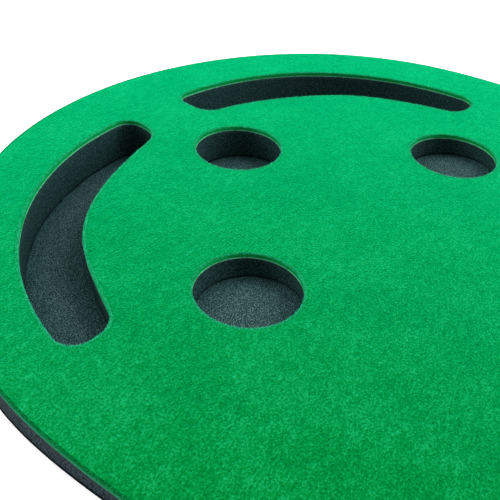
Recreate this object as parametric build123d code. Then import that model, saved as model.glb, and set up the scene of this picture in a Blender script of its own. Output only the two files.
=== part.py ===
"""Practice putting mat: a kidney-shaped felt green on a non-slip base, with a foam ramp under its head.

Frame: +Y is the putting direction, from the tail to the head; +X is the golfer's right; +Z is up.
The origin is on the floor, at the middle of the mat's overall width and length.
The layers lie one on another: base sheet, foam ramp, felt backing and putting surface.
Three cups and two crescent bunkers are cut through all of them except the base sheet.
"""
import os

from build123d import *

# Overall size and layers
MAT_WIDTH = 914.0
MAT_LENGTH = 2743.0
BASE_THICKNESS = 2.5
BACKING_THICKNESS = 1.1
FELT_THICKNESS = 4.8

# Foam ramp: a wedge skived to nothing at its foot and highest at the head's rear end
RAMP_LENGTH = 730.0
RAMP_REAR_HEIGHT = 53.0

# Cups: regulation hole diameter, (x, y) of each centre
CUP_DIAMETER = 108.0
CUP_CENTRES = {
    "left": (-220.5, 932.0),
    "right": (156.5, 926.0),
    "rear": (-31.5, 1125.0),
}

# Bunkers, from the head's middle outwards: the outer long side of each crescent as the start, a
# point between and the end of an arc, the inner one as points of a smooth curve, which straightens
# towards its outer end, and the radii of the corners at the two ends of each side
BUNKERS = {
    "left": {
        "outer_side": [(-81, 1278), (-302, 1185), (-394, 981)],
        "inner_side": [(-82, 1220), (-158, 1193), (-238, 1151), (-285, 1106), (-316, 1048), (-343, 981)],
        "outer_radii": (22, 22),
        "inner_radii": (36, 30),
    },
    "right": {
        "outer_side": [(3, 1281), (232, 1191), (322, 980)],
        "inner_side": [(4, 1219), (74, 1199), (139, 1165), (198, 1117), (236, 1059), (267, 980)],
        "outer_radii": (22, 25),
        "inner_radii": (28, 28),
    },
}

# Kidney outline, clockwise from above, from the rear of the head: the right side bulges and the
# left side is drawn in between the head and the tail
OUTLINE = [
    (-31, 1371.5),
    (134, 1340),
    (292, 1239),
    (383, 1094),
    (411, 930),
    (432, 720),
    (451, 440),
    (457, 120),
    (449, -230),
    (430, -570),
    (394, -880),
    (318, -1140),
    (180, -1320),
    (-5, -1371.5),
    (-190, -1333),
    (-325, -1225),
    (-392, -1060),
    (-402, -860),
    (-369, -640),
    (-320, -420),
    (-284, -200),
    (-270, 10),
    (-283, 200),
    (-318, 380),
    (-372, 550),
    (-421.5, 712),
    (-448.6, 850),
    (-455.9, 925),
    (-455.9, 984),
    (-433.3, 1090),
    (-358, 1219),
    (-240, 1320),
]

MARGIN = 50.0  # how far the cutting tools reach past the mat

REAR_Y = MAT_LENGTH / 2
TAIL_Y = -MAT_LENGTH / 2
FOOT_Y = REAR_Y - RAMP_LENGTH
RAMP_SLOPE = RAMP_REAR_HEIGHT / RAMP_LENGTH


def mat_outline():
    """The kidney outline as a flat face on the floor."""
    return make_face(Spline(*OUTLINE, periodic=True))


def round_corner(face, corner, radius):
    """The face with the corner nearest the given point rounded."""
    vertex = face.vertices().sort_by_distance(Vector(*corner))[0]
    return fillet(vertex, radius)


def crescent(sides):
    """One bunker's cut-out: two curved sides closed by short ends, with all four corners rounded."""
    outer = sides["outer_side"]
    inner = sides["inner_side"]
    outline = ThreePointArc(*outer)
    outline += Spline(*inner)
    outline += Line(outer[0], inner[0])
    outline += Line(outer[-1], inner[-1])
    face = make_face(outline)
    for side, radii in ((outer, sides["outer_radii"]), (inner, sides["inner_radii"])):
        face = round_corner(face, side[0], radii[0])
        face = round_corner(face, side[-1], radii[1])
    return face


def cut_outs():
    """The cups and bunkers, as one flat shape on the floor."""
    holes = [Pos(x, y) * Circle(CUP_DIAMETER / 2) for x, y in CUP_CENTRES.values()]
    holes += [crescent(sides) for sides in BUNKERS.values()]
    return holes


def prism(face, height):
    """A flat shape on the floor, extruded upwards."""
    return extrude(face, amount=height, dir=(0, 0, 1))


def plan_of_upper_layers():
    """The mat's outline with the cups and bunkers cut out, as a tall prism."""
    height = BASE_THICKNESS + RAMP_REAR_HEIGHT + BACKING_THICKNESS + FELT_THICKNESS + MARGIN
    solid = prism(mat_outline(), height)
    for hole in cut_outs():
        solid -= prism(hole, height)
    return solid


def surface_height(y):
    """Height of the foam's top, or of the base sheet's top in front of the foam."""
    return BASE_THICKNESS + max(0.0, y - FOOT_Y) * RAMP_SLOPE


def across_the_mat(points):
    """A side profile, given as (y, z) points, extruded across the mat's whole width."""
    profile = make_face(Polyline(*[(0, y, z) for y, z in points], close=True))
    half_width = MAT_WIDTH / 2 + MARGIN
    return extrude(profile, amount=half_width, dir=(1, 0, 0), both=True)


def laid_layer(lift, thickness):
    """A layer of even thickness that follows the base sheet and the ramp, lifted off them by lift."""
    stations = [TAIL_Y - MARGIN, FOOT_Y, REAR_Y + MARGIN]
    underside = [(y, surface_height(y) + lift) for y in stations]
    top = [(y, z + thickness) for y, z in underside]
    return across_the_mat(underside + top[::-1])


def base_sheet():
    """Thin non-slip sheet under the whole mat. It is the floor of the cups and bunkers."""
    return prism(mat_outline(), BASE_THICKNESS)


def head_ramp(plan):
    """Closed-cell foam wedge that raises the head, so that the putt runs uphill to the cups."""
    end = REAR_Y + MARGIN
    wedge = across_the_mat([(FOOT_Y, BASE_THICKNESS), (end, BASE_THICKNESS), (end, surface_height(end))])
    return wedge & plan


def felt_backing(plan):
    """Latex coat that binds the felt's underside."""
    return laid_layer(0, BACKING_THICKNESS) & plan


def putting_surface(plan):
    """Needle-punched felt that the ball rolls on."""
    return laid_layer(BACKING_THICKNESS, FELT_THICKNESS) & plan


def main():
    os.makedirs("parts", exist_ok=True)
    plan = plan_of_upper_layers()
    nodes = {
        "base_sheet": base_sheet(),
        "head_ramp": head_ramp(plan),
        "felt_backing": felt_backing(plan),
        "putting_surface": putting_surface(plan),
    }
    for name, solid in nodes.items():
        export_step(solid, f"parts/{name}.step")
    outline = nodes["base_sheet"].bounding_box()
    print("outline", outline.min, outline.max)


main()
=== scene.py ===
import math

import bmesh
import bpy
import numpy as np
from mathutils import Matrix, Vector
from mathutils.geometry import delaunay_2d_cdt
from mathutils.kdtree import KDTree


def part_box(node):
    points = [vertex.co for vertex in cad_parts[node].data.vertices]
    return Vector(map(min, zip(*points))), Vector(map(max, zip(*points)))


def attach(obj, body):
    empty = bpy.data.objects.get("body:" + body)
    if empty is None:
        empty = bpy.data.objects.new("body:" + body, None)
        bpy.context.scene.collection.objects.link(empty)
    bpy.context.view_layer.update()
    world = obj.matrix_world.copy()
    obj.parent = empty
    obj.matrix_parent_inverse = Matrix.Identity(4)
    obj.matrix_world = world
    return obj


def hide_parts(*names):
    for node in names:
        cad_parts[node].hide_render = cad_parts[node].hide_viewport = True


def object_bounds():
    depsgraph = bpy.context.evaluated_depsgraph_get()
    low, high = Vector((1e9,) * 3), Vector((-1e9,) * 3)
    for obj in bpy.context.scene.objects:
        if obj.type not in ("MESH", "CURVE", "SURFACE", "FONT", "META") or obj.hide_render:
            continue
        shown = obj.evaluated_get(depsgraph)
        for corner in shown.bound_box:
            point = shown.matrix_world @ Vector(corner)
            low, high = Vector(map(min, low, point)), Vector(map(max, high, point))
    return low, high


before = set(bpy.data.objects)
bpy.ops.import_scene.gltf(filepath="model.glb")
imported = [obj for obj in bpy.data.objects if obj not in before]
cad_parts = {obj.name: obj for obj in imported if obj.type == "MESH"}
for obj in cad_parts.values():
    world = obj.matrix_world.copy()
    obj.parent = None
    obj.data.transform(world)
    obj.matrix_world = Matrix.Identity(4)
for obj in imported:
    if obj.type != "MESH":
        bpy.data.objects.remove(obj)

CAD_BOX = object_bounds()
MM = 0.001
SEED = 7
RNG = np.random.default_rng(SEED)

# Heights and places of the layers, from the frame
BASE_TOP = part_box("base_sheet")[1][2]
FOOT_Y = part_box("head_ramp")[0][1]
REAR_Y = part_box("head_ramp")[1][1]
RAMP_SLOPE = (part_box("head_ramp")[1][2] - BASE_TOP) / (REAR_Y - FOOT_Y)
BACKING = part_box("felt_backing")[1][2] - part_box("head_ramp")[1][2]
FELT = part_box("putting_surface")[1][2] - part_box("felt_backing")[1][2]

# The whole mat's lowest and highest corners, and its parts along Y
LOW_CORNER, HIGH_CORNER = (np.array(corner) for corner in CAD_BOX)
X_SPAN = (LOW_CORNER[0], HIGH_CORNER[0])
HEAD_START = FOOT_Y - 60 * MM
HEAD = (HEAD_START, HIGH_CORNER[1])
RUN = (LOW_CORNER[1], HEAD_START)

# Shapes that the CAD layers leave out
FOOT_BEND = 40 * MM  # length over which the felt bends at the ramp's foot
PAINTED_SHADOW_HEIGHT = 3.2 * MM  # height of the dark band of painted shadow along the foot of the ramp's outer sides
WALL_SHADE_REACH = 28 * MM  # distance from the walls at which the painted shade on the holes' floor ends

# Waves that the run keeps from being rolled up
WAVE_HEIGHT = 1.0 * MM
WAVE_LENGTH = 0.47
WAVE_SKEW = 0.12  # how far a wave wanders across the mat, as a share of its length
WAVE_SKEW_SPAN = 1.3
CALM_GAP = 0.05  # the waves start this far before the ramp's foot
CALM_LENGTH = 0.35  # and have grown to their full height over this length

# Spacing of the meshes' points
OUTLINE_STEP = 4 * MM
HOLE_STEP = 2.5 * MM
PEBBLE_STEP = 1.8 * MM
FINE = (6 * MM, 11 * MM)  # on the head and on the run, where the surface shows
COARSE = (40 * MM, 60 * MM)
PLAIN = (60 * MM, 60 * MM)
GRID_JITTER = 0.2  # share of the spacing
CLEARANCE = 0.55  # least distance of a scattered point from an edge, as a share of its spacing

CORNER_TURN = math.radians(40)  # a sharper turn than this in an outline is a corner
UPWARD = 0.5  # least z of the normal of a face that counts as part of an upper side
MERGE = 1e-6  # distance within which a CAD mesh's points are one
CHUNK = 4000  # points tested at a time, to save memory


# ---------------------------------------------------------------- outlines


def walk_loops(edges):
    """Chains edges, as pairs of point numbers, into closed loops."""
    links = {}
    for a, b in edges:
        links.setdefault(a, []).append(b)
        links.setdefault(b, []).append(a)
    loops = []
    while links:
        start = next(iter(links))
        loop = [start]
        previous, here = start, links[start][0]
        while here != start:
            loop.append(here)
            onward = [n for n in links[here] if n != previous]
            previous, here = here, onward[0]
        for point in loop:
            del links[point]
        loops.append(loop)
    return loops


def signed_area(loop):
    """Area within a closed loop, negative where it runs clockwise."""
    x, y = loop[:, 0], loop[:, 1]
    return 0.5 * float(np.sum(x * np.roll(y, -1) - np.roll(x, -1) * y))


def rim_loops(node):
    """The edges of a CAD node's upper side, from above: its outline first, then its holes.

    The outline runs anticlockwise and the holes clockwise, so the material is always on the left.
    """
    mesh = bmesh.new()
    mesh.from_mesh(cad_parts[node].data)
    bmesh.ops.remove_doubles(mesh, verts=mesh.verts, dist=MERGE)
    mesh.normal_update()
    rim = [e for e in mesh.edges if sum(f.normal.z > UPWARD for f in e.link_faces) == 1]
    place = {v.index: (v.co.x, v.co.y) for v in mesh.verts}
    loops = walk_loops([(e.verts[0].index, e.verts[1].index) for e in rim])
    mesh.free()
    loops = [np.array([place[i] for i in loop]) for loop in loops]
    loops.sort(key=lambda loop: -abs(signed_area(loop)))
    facing = [1] + [-1] * (len(loops) - 1)
    return [loop if signed_area(loop) * way > 0 else loop[::-1] for loop, way in zip(loops, facing)]


def turn_angle(a, b, c):
    """How sharply the way from a over b to c turns at b."""
    before, after = b - a, c - b
    cross = before[0] * after[1] - before[1] * after[0]
    return abs(math.atan2(cross, float(before @ after)))


def curve_between(p0, p1, p2, p3, count):
    """Points on a centripetal Catmull-Rom curve from p1 towards p2."""
    knots = [0.0]
    for a, b in ((p0, p1), (p1, p2), (p2, p3)):
        knots.append(knots[-1] + max(float(np.linalg.norm(b - a)), 1e-9) ** 0.5)
    t0, t1, t2, t3 = knots
    t = (t1 + (t2 - t1) * np.arange(count) / count)[:, None]
    a1 = (t1 - t) / (t1 - t0) * p0 + (t - t0) / (t1 - t0) * p1
    a2 = (t2 - t) / (t2 - t1) * p1 + (t - t1) / (t2 - t1) * p2
    a3 = (t3 - t) / (t3 - t2) * p2 + (t - t2) / (t3 - t2) * p3
    b1 = (t2 - t) / (t2 - t0) * a1 + (t - t0) / (t2 - t0) * a2
    b2 = (t3 - t) / (t3 - t1) * a2 + (t - t1) / (t3 - t1) * a3
    return (t2 - t) / (t2 - t1) * b1 + (t - t1) / (t2 - t1) * b2


def smooth_loop(loop, spacing):
    """The same closed outline as a smooth curve, with points about spacing apart."""
    points = []
    n = len(loop)
    for i in range(n):
        p0, p1, p2, p3 = (loop[(i + k) % n] for k in (-1, 0, 1, 2))
        # A corner stays sharp: the curve runs straight into it
        if turn_angle(p0, p1, p2) > CORNER_TURN:
            p0 = 2 * p1 - p2
        if turn_angle(p1, p2, p3) > CORNER_TURN:
            p3 = 2 * p2 - p1
        count = max(1, round(float(np.linalg.norm(p2 - p1)) / spacing))
        points.append(curve_between(p0, p1, p2, p3, count))
    return np.concatenate(points)


def smooth_rims(node):
    """A node's outline and holes as smooth curves."""
    return [
        smooth_loop(loop, HOLE_STEP if k else OUTLINE_STEP)
        for k, loop in enumerate(rim_loops(node))
    ]


def inward(loop):
    """Unit directions from each point of a loop into the material, on its left."""
    along = np.roll(loop, -1, 0) - np.roll(loop, 1, 0)
    along /= np.linalg.norm(along, axis=1)[:, None]
    return np.stack([-along[:, 1], along[:, 0]], 1)


def inside(points, loops):
    """Which points lie in the material between the loops, by the even-odd rule."""
    result = np.zeros(len(points), bool)
    for loop in loops:
        a, b = loop, np.roll(loop, -1, 0)
        for k in range(0, len(points), CHUNK):
            x, y = points[k : k + CHUNK, 0, None], points[k : k + CHUNK, 1, None]
            spans = (a[:, 1] > y) != (b[:, 1] > y)
            rise = np.where(b[:, 1] == a[:, 1], 1e-12, b[:, 1] - a[:, 1])
            crossing = a[:, 0] + (y - a[:, 1]) / rise * (b[:, 0] - a[:, 0])
            result[k : k + CHUNK] ^= (np.sum(spans & (x < crossing), 1) % 2).astype(bool)
    return result


# ---------------------------------------------------------------- heights


def lift(x, y):
    """How far the run stands off the floor, where it still remembers being rolled up."""
    grown = np.clip((FOOT_Y - CALM_GAP - y) / CALM_LENGTH, 0, 1)
    skew = WAVE_SKEW * np.sin(2 * math.pi * x / WAVE_SKEW_SPAN)
    wave = np.sin(2 * math.pi * (y / WAVE_LENGTH + skew))
    return WAVE_HEIGHT * grown * grown * (3 - 2 * grown) * np.clip(wave, 0, 1) ** 2


def ramp_height(y):
    """Height of the ramp's top over the base sheet, with a short bend at its foot."""
    past = y - FOOT_Y
    half = FOOT_BEND / 2
    bend = RAMP_SLOPE * (past + half) ** 2 / (2 * FOOT_BEND)
    return np.where(past < -half, 0.0, np.where(past < half, bend, RAMP_SLOPE * past))


def base_top(x, y):
    """The base sheet's upper side."""
    return lift(x, y) + BASE_TOP


def pebbled_base_top(x, y):
    """The base sheet's upper side, with the slight relief of its foam cells."""
    return base_top(x, y) + RNG.normal(0, 0.06 * MM, len(x))


def foam_top(x, y):
    """The ramp's upper side, or the base sheet's in front of it."""
    return base_top(x, y) + ramp_height(y)


def backing_top(x, y):
    """The latex's upper side."""
    return foam_top(x, y) + BACKING


def felt_top(x, y):
    """The felt's upper side."""
    return backing_top(x, y) + FELT


# ---------------------------------------------------------------- layers


def grid_points(spacing, x_range, y_range):
    """A jittered triangular grid over a rectangle."""
    rows = np.arange(y_range[0], y_range[1], spacing * 0.866)  # the height of a triangle of side 1
    columns = np.arange(x_range[0], x_range[1], spacing)
    x, y = np.meshgrid(columns, rows)
    x = x + (np.arange(len(rows)) % 2)[:, None] * spacing / 2
    points = np.stack([x.ravel(), y.ravel()], 1)
    return points + RNG.uniform(-GRID_JITTER, GRID_JITTER, points.shape) * spacing


def over_mat(spacings):
    """Points to scatter over the whole mat, with their own spacing on the head and on the run."""
    head, run = spacings
    return [(grid_points(head, X_SPAN, HEAD), head), (grid_points(run, X_SPAN, RUN), run)]


def cap(rings, filling):
    """Triangles between closed rings of points, with the given points scattered inside them.

    Gives the extra points used, and triangles that number the rings' points first.
    """
    tree = KDTree(sum(len(r) for r in rings))
    number = 0
    edges = []
    for ring in rings:
        first = number
        for x, y in ring:
            tree.insert((x, y, 0), number)
            number += 1
        edges += [(first + i, first + (i + 1) % len(ring)) for i in range(len(ring))]
    tree.balance()
    extra = []
    for points, spacing in filling:
        points = points[inside(points, rings)]
        clear = [tree.find((x, y, 0))[2] > CLEARANCE * spacing for x, y in points]
        extra.append(points[np.array(clear, bool)])
    extra = np.concatenate(extra) if extra else np.zeros((0, 2))
    everything = np.concatenate(list(rings) + [extra])
    result = delaunay_2d_cdt([Vector(p) for p in everything], edges, [], 1, 1e-7)
    origin = [first[0] for first in result[3]]
    triangles = np.array([[origin[i] for i in face] for face in result[2]])
    middles = everything[triangles].mean(1)
    owner = np.concatenate([np.full(len(r), k) for k, r in enumerate(rings)] + [np.full(len(extra), -1)])
    kinds = owner[triangles]
    doubtful = (kinds[:, 0] >= 0) & (kinds[:, 0] == kinds[:, 1]) & (kinds[:, 1] == kinds[:, 2])
    keep = ~doubtful
    keep[doubtful] = inside(middles[doubtful], rings)
    triangles = triangles[keep]
    a, b, c = (everything[triangles[:, k]] for k in range(3))
    flipped = (b[:, 0] - a[:, 0]) * (c[:, 1] - a[:, 1]) < (b[:, 1] - a[:, 1]) * (c[:, 0] - a[:, 0])
    triangles[flipped] = triangles[flipped][:, ::-1]
    return extra, triangles


def edge_ring(plan, row, low, high):
    """One ring of a layer's cut edge: its points in plan, raised as the profile's row says."""
    _, side, distance, _ = row
    x, y = plan[:, 0], plan[:, 1]
    if side == "low":
        z = low(x, y) + distance
    elif side == "high":
        z = high(x, y) - distance
    else:
        bottom, top = low(x, y), high(x, y)
        # The lowest band of the side is kept for the painted shadow at its foot
        painted_shadow = np.minimum(PAINTED_SHADOW_HEIGHT, (top - bottom) / 2)
        z = bottom + painted_shadow + (top - bottom - painted_shadow) * distance
    return np.column_stack([plan, z])


def layer(name, loops, low, high, profile, upper, lower, waver=0.0, hole_kinds=None):
    """A closed layer between two height functions, with its cut edge shaped by profile.

    profile lists (inset, side, distance, material) from the underside up: how far the edge stands
    in from the outline, its height above the underside ("low"), below the upper side ("high") or
    as a share of the way up from the band of painted shadow at the foot ("share"), and the
    material index of the edge faces above it. hole_kinds gives the index that takes its place
    round the holes.
    list (points, spacing) to scatter over the two sides, which have material index 0 and that of
    the profile's first row. waver is how far the cut wanders from its line.
    """
    hole_kinds = hole_kinds or {}
    normals = [inward(loop) for loop in loops]
    wobbles = [waver * smooth_noise(len(loop)) for loop in loops]
    levels = []
    for row in profile:
        plans = [
            loop + normal * (row[0] + wobble)[:, None]
            for loop, normal, wobble in zip(loops, normals, wobbles)
        ]
        levels.append([edge_ring(plan, row, low, high) for plan in plans])

    # Number the rings' points, level by level
    starts = []
    points = []
    count = 0
    for level in levels:
        starts.append([])
        for ring in level:
            starts[-1].append(count)
            points.append(ring)
            count += len(ring)

    # The cut edge, as quads between each level and the next
    faces = []
    kinds = []
    for k in range(len(levels) - 1):
        for number, (start, above, ring) in enumerate(zip(starts[k], starts[k + 1], levels[k])):
            n = len(ring)
            kind = profile[k][3]
            if number > 0:
                kind = hole_kinds.get(kind, kind)
            for i in range(n):
                j = (i + 1) % n
                faces.append((start + i, start + j, above + j, above + i))
                kinds.append(kind)

    # The upper side and the underside
    for level, first, fill, height, kind in (
        (levels[-1], starts[-1], upper, high, 0),
        (levels[0], starts[0], lower, low, profile[0][3]),
    ):
        extra, triangles = cap([ring[:, :2] for ring in level], fill)
        numbers = [np.arange(s, s + len(ring)) for s, ring in zip(first, level)]
        numbers = np.concatenate(numbers + [np.arange(count, count + len(extra))])
        points.append(np.column_stack([extra, height(extra[:, 0], extra[:, 1])]))
        count += len(extra)
        corners = numbers[triangles]
        if height is low:
            corners = corners[:, ::-1]
        faces += [tuple(int(i) for i in t) for t in corners]
        kinds += [kind] * len(corners)

    piece = mesh_piece(name, np.concatenate(points), faces)
    piece.data.polygons.foreach_set("material_index", kinds)
    piece.data.polygons.foreach_set("use_smooth", [True] * len(kinds))
    piece.data.update()
    return piece


def mesh_piece(name, points, faces):
    """A new object in the scene with the given mesh."""
    mesh = bpy.data.meshes.new(name)
    mesh.from_pydata(points.tolist(), [], faces)
    mesh.update()
    piece = bpy.data.objects.new(name, mesh)
    bpy.context.scene.collection.objects.link(piece)
    return piece


def smooth_noise(count, waves=(3, 5, 9, 17)):
    """A repeating random curve of count samples, within about -1 to 1."""
    angle = 2 * math.pi * np.arange(count) / count
    parts = [np.sin(w * angle + RNG.uniform(0, 6.28)) for w in waves]
    return sum(parts) / len(waves)


def dress(piece, slot, *materials):
    """Gives a piece its materials and its body."""
    for material in materials:
        piece.data.materials.append(material)
    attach(piece, "root")


# ---------------------------------------------------------------- materials


class Shader:
    """A small node tree around one Principled shader."""

    def __init__(self, name, **sockets):
        """sockets are the Principled shader's own, with _ for a space."""
        self.material = bpy.data.materials.new(name)
        self.material.use_nodes = True
        self.tree = self.material.node_tree
        self.principled = self.tree.nodes["Principled BSDF"]
        for socket, value in sockets.items():
            self.principled.inputs[socket.replace("_", " ")].default_value = value
        self.place = self.add("ShaderNodeTexCoord").outputs["Object"]

    def add(self, kind, **values):
        """A new node, with its properties set."""
        node = self.tree.nodes.new(kind)
        for key, value in values.items():
            setattr(node, key, value)
        return node

    def link(self, source, target):
        self.tree.links.new(source, target)

    def noise(self, size_mm, detail=2.0, roughness=0.5, stretch=(1, 1, 1), turn=0):
        """Noise whose features are about size_mm across, from 0 to 1.

        stretch draws them out along x, y and z, turned about z by turn degrees.
        """
        place = self.place
        if stretch != (1, 1, 1):
            mapping = self.add("ShaderNodeMapping", vector_type="TEXTURE")
            mapping.inputs["Scale"].default_value = stretch
            mapping.inputs["Rotation"].default_value = (0, 0, math.radians(turn))
            self.link(place, mapping.inputs["Vector"])
            place = mapping.outputs["Vector"]
        node = self.add("ShaderNodeTexNoise")
        node.inputs["Scale"].default_value = 1000 / size_mm
        node.inputs["Detail"].default_value = detail
        node.inputs["Roughness"].default_value = roughness
        self.link(place, node.inputs["Vector"])
        return node.outputs["Fac"]

    def cells(self, size_mm):
        """Distance from the middles of random cells about size_mm across."""
        node = self.add("ShaderNodeTexVoronoi")
        node.inputs["Scale"].default_value = 1000 / size_mm
        self.link(self.place, node.inputs["Vector"])
        return node.outputs["Distance"]

    def mix(self, a, b, share):
        """a and b mixed as numbers, with share of b."""
        node = self.add("ShaderNodeMix", data_type="FLOAT")
        node.inputs["Factor"].default_value = share
        self.link(a, node.inputs["A"])
        self.link(b, node.inputs["B"])
        return node.outputs["Result"]

    def times(self, a, b):
        """Two colours multiplied."""
        node = self.add("ShaderNodeMix", data_type="RGBA", blend_type="MULTIPLY")
        node.inputs["Factor"].default_value = 1.0
        first, second = [socket for socket in node.inputs if socket.type == "RGBA"]
        self.link(a, first)
        self.link(b, second)
        return next(socket for socket in node.outputs if socket.type == "RGBA")

    def ramp(self, source, *stops):
        """Colours by value: stops are (position, (r, g, b))."""
        node = self.add("ShaderNodeValToRGB")
        elements = node.color_ramp.elements
        while len(elements) < len(stops):
            elements.new(0.5)
        for element, (position, colour) in zip(elements, stops):
            element.position = position
            element.color = (*colour, 1)
        self.link(source, node.inputs["Fac"])
        return node.outputs["Color"]

    def colour(self, source):
        """The surface's colour."""
        self.link(source, self.principled.inputs["Base Color"])

    def bump(self, *layers):
        """layers are (height source, depth in mm), laid one over another."""
        normal = None
        for source, depth_mm in layers:
            node = self.add("ShaderNodeBump")
            node.inputs["Strength"].default_value = 1.0
            node.inputs["Distance"].default_value = depth_mm * MM
            self.link(source, node.inputs["Height"])
            if normal is not None:
                self.link(normal, node.inputs["Normal"])
            normal = node.outputs["Normal"]
        self.link(normal, self.principled.inputs["Normal"])


NO_GLOSS = dict(Roughness=1.0, Specular_IOR_Level=0.0)
SHEEN = dict(Sheen_Roughness=0.5, Sheen_Tint=(0.0, 1.0, 0.49, 1))


def felt_material():
    """Brushed green needle felt: fine tufts, drawn out across the mat, with a soft sheen."""
    s = Shader("green_felt", Sheen_Weight=0.75, **NO_GLOSS, **SHEEN)
    tufts = s.noise(1.8, detail=2, roughness=0.6, stretch=(1.3, 1, 1), turn=15)
    clumps = s.noise(7, detail=4, roughness=0.65, stretch=(1.8, 1, 1), turn=15)
    patches = s.noise(70, detail=4, roughness=0.6)
    strands = s.mix(
        s.noise(0.5, detail=2, stretch=(6, 1, 1), turn=35),
        s.noise(0.5, detail=2, stretch=(6, 1, 1), turn=-20),
        0.5,
    )
    shade = s.mix(s.mix(s.mix(tufts, clumps, 0.3), patches, 0.18), strands, 0.25)
    s.colour(s.ramp(
        shade,
        (0.375, (0.0, 0.064, 0.0)),
        (0.5, (0.0005, 0.144, 0.013)),
        (0.625, (0.008, 0.272, 0.08)),
    ))
    s.bump((clumps, 1.0), (tufts, 1.1), (strands, 0.22))
    return s.material


def felt_edge_material(name, dark, middle, light):
    """The felt's cut side: dense fibre ends in thin wavy plies."""
    s = Shader(name, Sheen_Weight=0.2, **NO_GLOSS, **SHEEN)
    fibres = s.noise(1.6, detail=4, stretch=(1, 1, 0.4))
    s.colour(s.ramp(fibres, (0.35, dark), (0.5, middle), (0.65, light)))
    s.bump((fibres, 0.5))
    return s.material


def soaked_material(name, dark, light):
    """The lowest millimetre of the felt, where latex has soaked in between the fibres."""
    s = Shader(name, Roughness=0.9, Specular_IOR_Level=0.05)
    fibres = s.noise(1.6, detail=4)
    s.colour(s.ramp(fibres, (0.35, dark), (0.65, light)))
    s.bump((fibres, 0.3))
    return s.material


def fibre_material(name, dark, light):
    """Loose fibres at the felt's cut edges."""
    s = Shader(name, Sheen_Weight=0.25, **NO_GLOSS, **SHEEN)
    strands = s.noise(3, detail=2)
    s.colour(s.ramp(strands, (0.35, dark), (0.65, light)))
    return s.material


def latex_material(name, dark, light):
    """Dull grey-green latex, a little uneven where the felt was coated."""
    s = Shader(name, Roughness=0.85, Specular_IOR_Level=0.05)
    blotches = s.noise(4, detail=3)
    s.colour(s.ramp(blotches, (0.35, dark), (0.65, light)))
    s.bump((blotches, 0.2))
    return s.material


def foam_material(name, dark, middle, light, cell_mm, gloss=0.05, wall_shaded=False):
    """Closed-cell foam: speckled with fine cells, and if asked, darker towards the walls with painted
    shade.
    """
    s = Shader(name, Roughness=0.9, Specular_IOR_Level=gloss)
    cells = s.cells(cell_mm)
    grain = s.noise(cell_mm * 1.1, detail=4, roughness=0.8)
    speckle = s.mix(cells, grain, 0.5)
    colour = s.ramp(speckle, (0.35, dark), (0.48, middle), (0.61, light))
    # Painted shade: the colour darkens towards the holes' walls, by the stored distance from them
    if wall_shaded:
        wall_shade = s.add("ShaderNodeAttribute", attribute_name="wall_shade")
        painted_shade = s.ramp(wall_shade.outputs["Fac"], (0.0, (0.55, 0.68, 0.68)), (1.0, (1.0, 1.0, 1.0)))
        colour = s.times(colour, painted_shade)
    s.colour(colour)
    s.bump((s.noise(6, detail=2), 0.3), (cells, 0.35))
    return s.material


# ---------------------------------------------------------------- pieces

felt_loops = smooth_rims("putting_surface")
ramp_loops = smooth_rims("head_ramp")
base_loops = [felt_loops[0]]
hole_loops = felt_loops[1:]


def make_felt():
    """The felt: soaked with latex below, then its cut side, a rounded shoulder and the green; along the
    outline the side, the soaked layer and the shoulder are darker copies, with painted shade.
    """
    top, outer_edge, outer_soaked, hole_edge, hole_soaked, outer_shoulder = range(6)
    profile = [
        (0.3 * MM, "low", 0.0, outer_soaked),
        (0.0, "low", 0.3 * MM, outer_soaked),
        (0.0, "low", 1.1 * MM, outer_edge),
        (0.05 * MM, "high", 1.2 * MM, outer_edge),
        (0.2 * MM, "high", 0.7 * MM, outer_shoulder),
        (0.6 * MM, "high", 0.3 * MM, outer_shoulder),
        (1.2 * MM, "high", 0.08 * MM, outer_shoulder),
        (2.6 * MM, "high", 0.0, top),
    ]
    piece = layer(
        "felt_green", felt_loops, backing_top, felt_top, profile,
        over_mat(FINE), over_mat(COARSE), waver=0.3 * MM,
        hole_kinds={outer_edge: hole_edge, outer_soaked: hole_soaked, outer_shoulder: top},
    )
    dress(
        piece, "green_felt", felt_material(),
        # Along the outline the felt's side and soaked layer are darker copies of those in the holes:
        # painted shade
        felt_edge_material(
            "felt_outer_edge_painted_shade", (0.004, 0.05, 0.014), (0.008, 0.085, 0.03), (0.016, 0.13, 0.052),
        ),
        soaked_material(
            "felt_outer_in_latex_painted_shade", (0.01, 0.075, 0.04), (0.03, 0.15, 0.088),
        ),
        felt_edge_material(
            "felt_hole_edge", (0.0, 0.09, 0.008), (0.0006, 0.18, 0.029), (0.003, 0.28, 0.062),
        ),
        soaked_material(
            "felt_hole_in_latex", (0.006, 0.17, 0.06), (0.034, 0.36, 0.16),
        ),
        # The shoulder along the outline is darker than the felt's top: painted shade on its rounded edge
        felt_edge_material(
            "felt_outer_shoulder_painted_shade", (0.0, 0.045, 0.006), (0.001, 0.085, 0.016), (0.004, 0.15, 0.035),
        ),
    )
    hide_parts("putting_surface")
    return piece


def make_backing():
    """The latex coat, with slightly rounded edges, darker along the outline than in the holes, with
    painted shade.
    """
    latex, outer_edge = range(2)
    profile = [
        (0.3 * MM, "low", 0.0, outer_edge),
        (0.0, "low", 0.25 * MM, outer_edge),
        (0.0, "high", 0.2 * MM, outer_edge),
        (0.3 * MM, "high", 0.0, outer_edge),
    ]
    piece = layer(
        "latex_backing", felt_loops, foam_top, backing_top, profile,
        over_mat(PLAIN), over_mat(PLAIN), waver=0.2 * MM, hole_kinds={outer_edge: latex},
    )
    dress(
        piece, "latex_backing",
        latex_material("latex_backing", (0.035, 0.25, 0.12), (0.105, 0.44, 0.25)),
        # The latex along the outline is a darker copy of that in the holes: painted shade
        latex_material("latex_outer_edge_painted_shade", (0.012, 0.07, 0.045), (0.024, 0.12, 0.078)),
    )
    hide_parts("felt_backing")
    return piece


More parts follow.
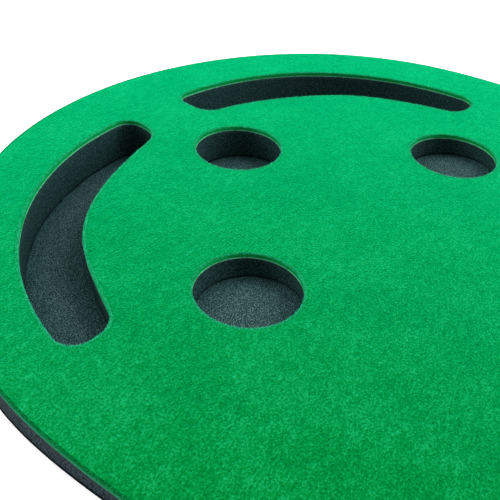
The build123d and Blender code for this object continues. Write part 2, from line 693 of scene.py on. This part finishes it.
def make_ramp():
    """The foam wedge: its sides bulge a little over a dark band of painted shadow along their foot."""
    inner, painted_shadow, outer = range(3)
    steps = 12
    bulge = 0.5 * MM
    profile = [(0.3 * MM, "low", 0.0, painted_shadow)]
    for k in range(steps + 1):
        profile.append((bulge * math.sin(math.pi * k / steps), "share", k / steps, outer))
    filling = [(grid_points(COARSE[0], X_SPAN, (FOOT_Y, HIGH_CORNER[1])), COARSE[0])]
    piece = layer(
        "ramp_foam", ramp_loops, base_top, foam_top, profile, filling, filling, waver=0.3 * MM,
        hole_kinds={painted_shadow: inner, outer: inner},
    )
    dress(
        piece, "ramp_foam",
        # The holes' walls take a copy of the foam with almost no red: painted green light bounced from the
        # felt
        foam_material(
            "ramp_foam", (0.0, 0.006, 0.006), (0.004, 0.021, 0.02), (0.022, 0.055, 0.054),
            cell_mm=1.2,
        ),
        # Painted shadow: a near-black band along the foot of the outer sides
        foam_material(
            "ramp_painted_shadow", (0.001, 0.003, 0.003), (0.003, 0.006, 0.006), (0.008, 0.013, 0.013),
            cell_mm=1.3, gloss=0.0,
        ),
        foam_material(
            "ramp_outer_foam", (0.002, 0.005, 0.007), (0.008, 0.016, 0.019), (0.025, 0.037, 0.042),
            cell_mm=2.0,
        ),
    )
    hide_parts("head_ramp")
    return piece


def pebbles():
    """Closely spaced points to scatter over the floor of each hole."""
    cavities = []
    for hole in hole_loops:
        spans = [(hole[:, k].min(), hole[:, k].max()) for k in range(2)]
        points = grid_points(PEBBLE_STEP, *spans)
        cavities.append(points[inside(points, [hole])])
    return np.concatenate(cavities)


def mark_wall_shade(piece, loops):
    """Stores how far each point is out of the painted shade along the loops: not at all on them, and fully
    at the shade's reach.
    """
    rim = np.concatenate(loops)
    tree = KDTree(len(rim))
    for k, (x, y) in enumerate(rim):
        tree.insert((x, y, 0), k)
    tree.balance()
    wall_shade = [min(1.0, tree.find((v.co.x, v.co.y, 0))[2] / WALL_SHADE_REACH) for v in piece.data.vertices]
    piece.data.attributes.new("wall_shade", "FLOAT", "POINT").data.foreach_set("value", wall_shade)


def make_base():
    """The base sheet, with a rounded edge, pebbled where the holes show it, and there darker along the
    walls with painted shade.
    """
    top, edge = range(2)
    profile = [
        (1.2 * MM, "low", 0.0, edge),
        (0.4 * MM, "low", 0.35 * MM, edge),
        (0.0, "low", 1.0 * MM, edge),
        (0.0, "high", 0.6 * MM, edge),
        (0.4 * MM, "high", 0.0, edge),
    ]
    in_holes = pebbles()
    outside_holes = [
        (points[inside(points, felt_loops)], spacing) for points, spacing in over_mat(COARSE)
    ]
    piece = layer(
        "base_foam", base_loops, lift, pebbled_base_top, profile,
        [(in_holes, PEBBLE_STEP)] + outside_holes, over_mat(COARSE), waver=0.3 * MM,
    )
    # Painted shade on the holes' floor, darkest along their walls
    mark_wall_shade(piece, hole_loops)
    dress(
        piece, "base_foam",
        foam_material(
            "base_foam", (0.0, 0.005, 0.005), (0.009, 0.034, 0.034), (0.086, 0.166, 0.166),
            cell_mm=1.08, wall_shaded=True,
        ),
        # The sheet's edge is near black, far darker than its top: in part painted shadow under the mat's
        # edge
        foam_material(
            "base_edge_with_painted_shadow", (0.002, 0.004, 0.004), (0.004, 0.007, 0.007), (0.01, 0.015, 0.015),
            cell_mm=1.3, gloss=0.0,
        ),
    )
    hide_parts("base_sheet")
    return piece


FIBRE_WIDTH = 0.16 * MM
FIBRE_LENGTH = (0.8, 2.4)  # in mm
FIBRE_LEAN = 0.4  # spread along the edge, as a share of the length
FIBRE_INSET = (0.1, 2.8)  # of the nearest root from the edge and of the range behind it, in mm
FIBRE_DEPTH = 0.2 * MM  # of the root in the felt
SHOULDER = 0.9 * MM  # the felt rounds off within this distance of its edge
SHOULDER_FALL = 0.7


def make_rim_fibres(name, loops, per_mm, reaches, rises, material):
    """Short loose fibres along cut edges of the felt, each a slender spike.

    reaches and rises are the least and most that a fibre leans over the edge and stands up, as
    shares of its length.
    """
    nearest, spread = FIBRE_INSET
    roots = []
    tips = []
    for loop in loops:
        steps = np.linalg.norm(np.roll(loop, -1, 0) - loop, axis=1)
        count = int(steps.sum() / MM * per_mm)
        place = RNG.uniform(0, len(loop), count)
        first = place.astype(int)
        share = (place - first)[:, None]
        last = (first + 1) % len(loop)
        normal = inward(loop)
        at = loop[first] * (1 - share) + loop[last] * share
        out = -(normal[first] * (1 - share) + normal[last] * share)
        along = np.stack([out[:, 1], -out[:, 0]], 1)
        inset = (nearest + spread * RNG.uniform(0, 1, count)[:, None] ** 1.5) * MM
        root = at - out * inset
        fall = np.clip(SHOULDER - inset[:, 0], 0, None) * SHOULDER_FALL
        z = felt_top(root[:, 0], root[:, 1]) - fall
        length = RNG.uniform(*FIBRE_LENGTH, count)[:, None] * MM
        lean = RNG.normal(0, FIBRE_LEAN, count)[:, None]
        reach = RNG.uniform(*reaches, count)[:, None]
        rise = RNG.uniform(*rises, count)
        plan = root + length * (out * reach + along * lean)
        roots.append(np.column_stack([root, z - FIBRE_DEPTH]))
        tips.append(np.column_stack([plan, z + length[:, 0] * rise]))
    piece = spikes(name, np.concatenate(roots), np.concatenate(tips), FIBRE_WIDTH)
    dress(piece, "green_felt", material)
    return piece


def spikes(name, roots, tips, width):
    """Slender closed spikes from roots to tips, with three sides each."""
    count = len(roots)
    turn = RNG.uniform(0, 2 * math.pi, count)
    corners = []
    for k in range(3):
        angle = turn + 2 * math.pi * k / 3
        around = np.column_stack([np.cos(angle), np.sin(angle), np.zeros(count)])
        corners.append(roots + width * around)
    points = np.stack([*corners, tips], 1).reshape(-1, 3)
    pattern = np.array([(0, 1, 3), (1, 2, 3), (2, 0, 3), (2, 1, 0)])
    faces = (np.arange(count)[:, None, None] * 4 + pattern[None]).reshape(-1, 3)
    return mesh_piece(name, points, faces.tolist())


# ---------------------------------------------------------------- studio


def make_camera():
    """A camera beside the cups, on the golfer's left, 45 cm over the floor."""
    camera = bpy.data.objects.new("camera", bpy.data.cameras.new("camera"))
    camera.data.lens = 50.77
    camera.data.sensor_width = 36
    camera.data.clip_start = 0.01
    place = Matrix.Translation((-0.6076, 0.5658, 0.4501))
    heading = Matrix.Rotation(math.radians(-46.81), 4, "Z")
    pitch = Matrix.Rotation(math.radians(90 - 35.16), 4, "X")
    roll = Matrix.Rotation(math.radians(-0.49), 4, "Z")
    camera.matrix_world = place @ heading @ pitch @ roll
    bpy.context.scene.collection.objects.link(camera)
    bpy.context.scene.camera = camera


def make_floor():
    """A plain white floor, bright enough to stay free of shadows."""
    size = 12
    corners = np.array([(-size, -size, 0), (size, -size, 0), (size, size, 0), (-size, size, 0)])
    floor = mesh_piece("floor", corners, [(0, 1, 2, 3)])
    white = (0.93, 0.93, 0.93, 1)
    s = Shader("floor", Base_Color=white, Emission_Color=white, Emission_Strength=0.4, **NO_GLOSS)
    floor.data.materials.append(s.material)


def make_sun(turn, elevation, strength):
    """A soft distant light, turned clockwise by turn degrees from the putting direction."""
    data = bpy.data.lights.new("sun", "SUN")
    data.angle = math.radians(40)
    data.energy = strength * math.pi
    light = bpy.data.objects.new("sun", data)
    across = math.cos(math.radians(elevation))
    turn = math.radians(turn)
    towards = Vector((math.sin(turn) * across, math.cos(turn) * across, math.sin(math.radians(elevation))))
    light.matrix_world = towards.to_track_quat("Z", "Y").to_matrix().to_4x4()
    bpy.context.scene.collection.objects.link(light)


def make_studio():
    """Plain soft light: a pale surround, with large lights low on both sides and one overhead."""
    world = bpy.data.worlds.new("studio")
    world.use_nodes = True
    background = world.node_tree.nodes["Background"]
    background.inputs["Color"].default_value = (1, 1, 1, 1)
    background.inputs["Strength"].default_value = 0.45
    bpy.context.scene.world = world
    for turn, elevation, strength in (
        (137, 12, 0.87),
        (137, 45, 0.75),
        (317, 12, 0.93),
        (317, 35, 0.29),
        (30, 70, 0.2),
    ):
        make_sun(turn, elevation, strength)
    view = bpy.context.scene.view_settings
    view.view_transform = "Standard"
    view.look = "None"


felt = make_felt()
backing = make_backing()
ramp = make_ramp()
base = make_base()
# The holes' rim fibres are far paler than the felt they come from: painted highlight where the rims catch
# the light
hole_fibres = make_rim_fibres(
    "felt_fibres_holes", hole_loops, per_mm=12, reaches=(-0.2, 0.6), rises=(0.3, 1.0),
    material=fibre_material("hole_fibre_painted_highlight", (0.008, 0.34, 0.15), (0.045, 0.62, 0.36)),
)
outer_fibres = make_rim_fibres(
    "felt_fibres_outline", felt_loops[:1], per_mm=3, reaches=(0.2, 0.9), rises=(-0.9, 0.5),
    material=fibre_material("outer_fibre", (0.004, 0.07, 0.02), (0.014, 0.17, 0.07)),
)

make_camera()
make_floor()
make_studio()
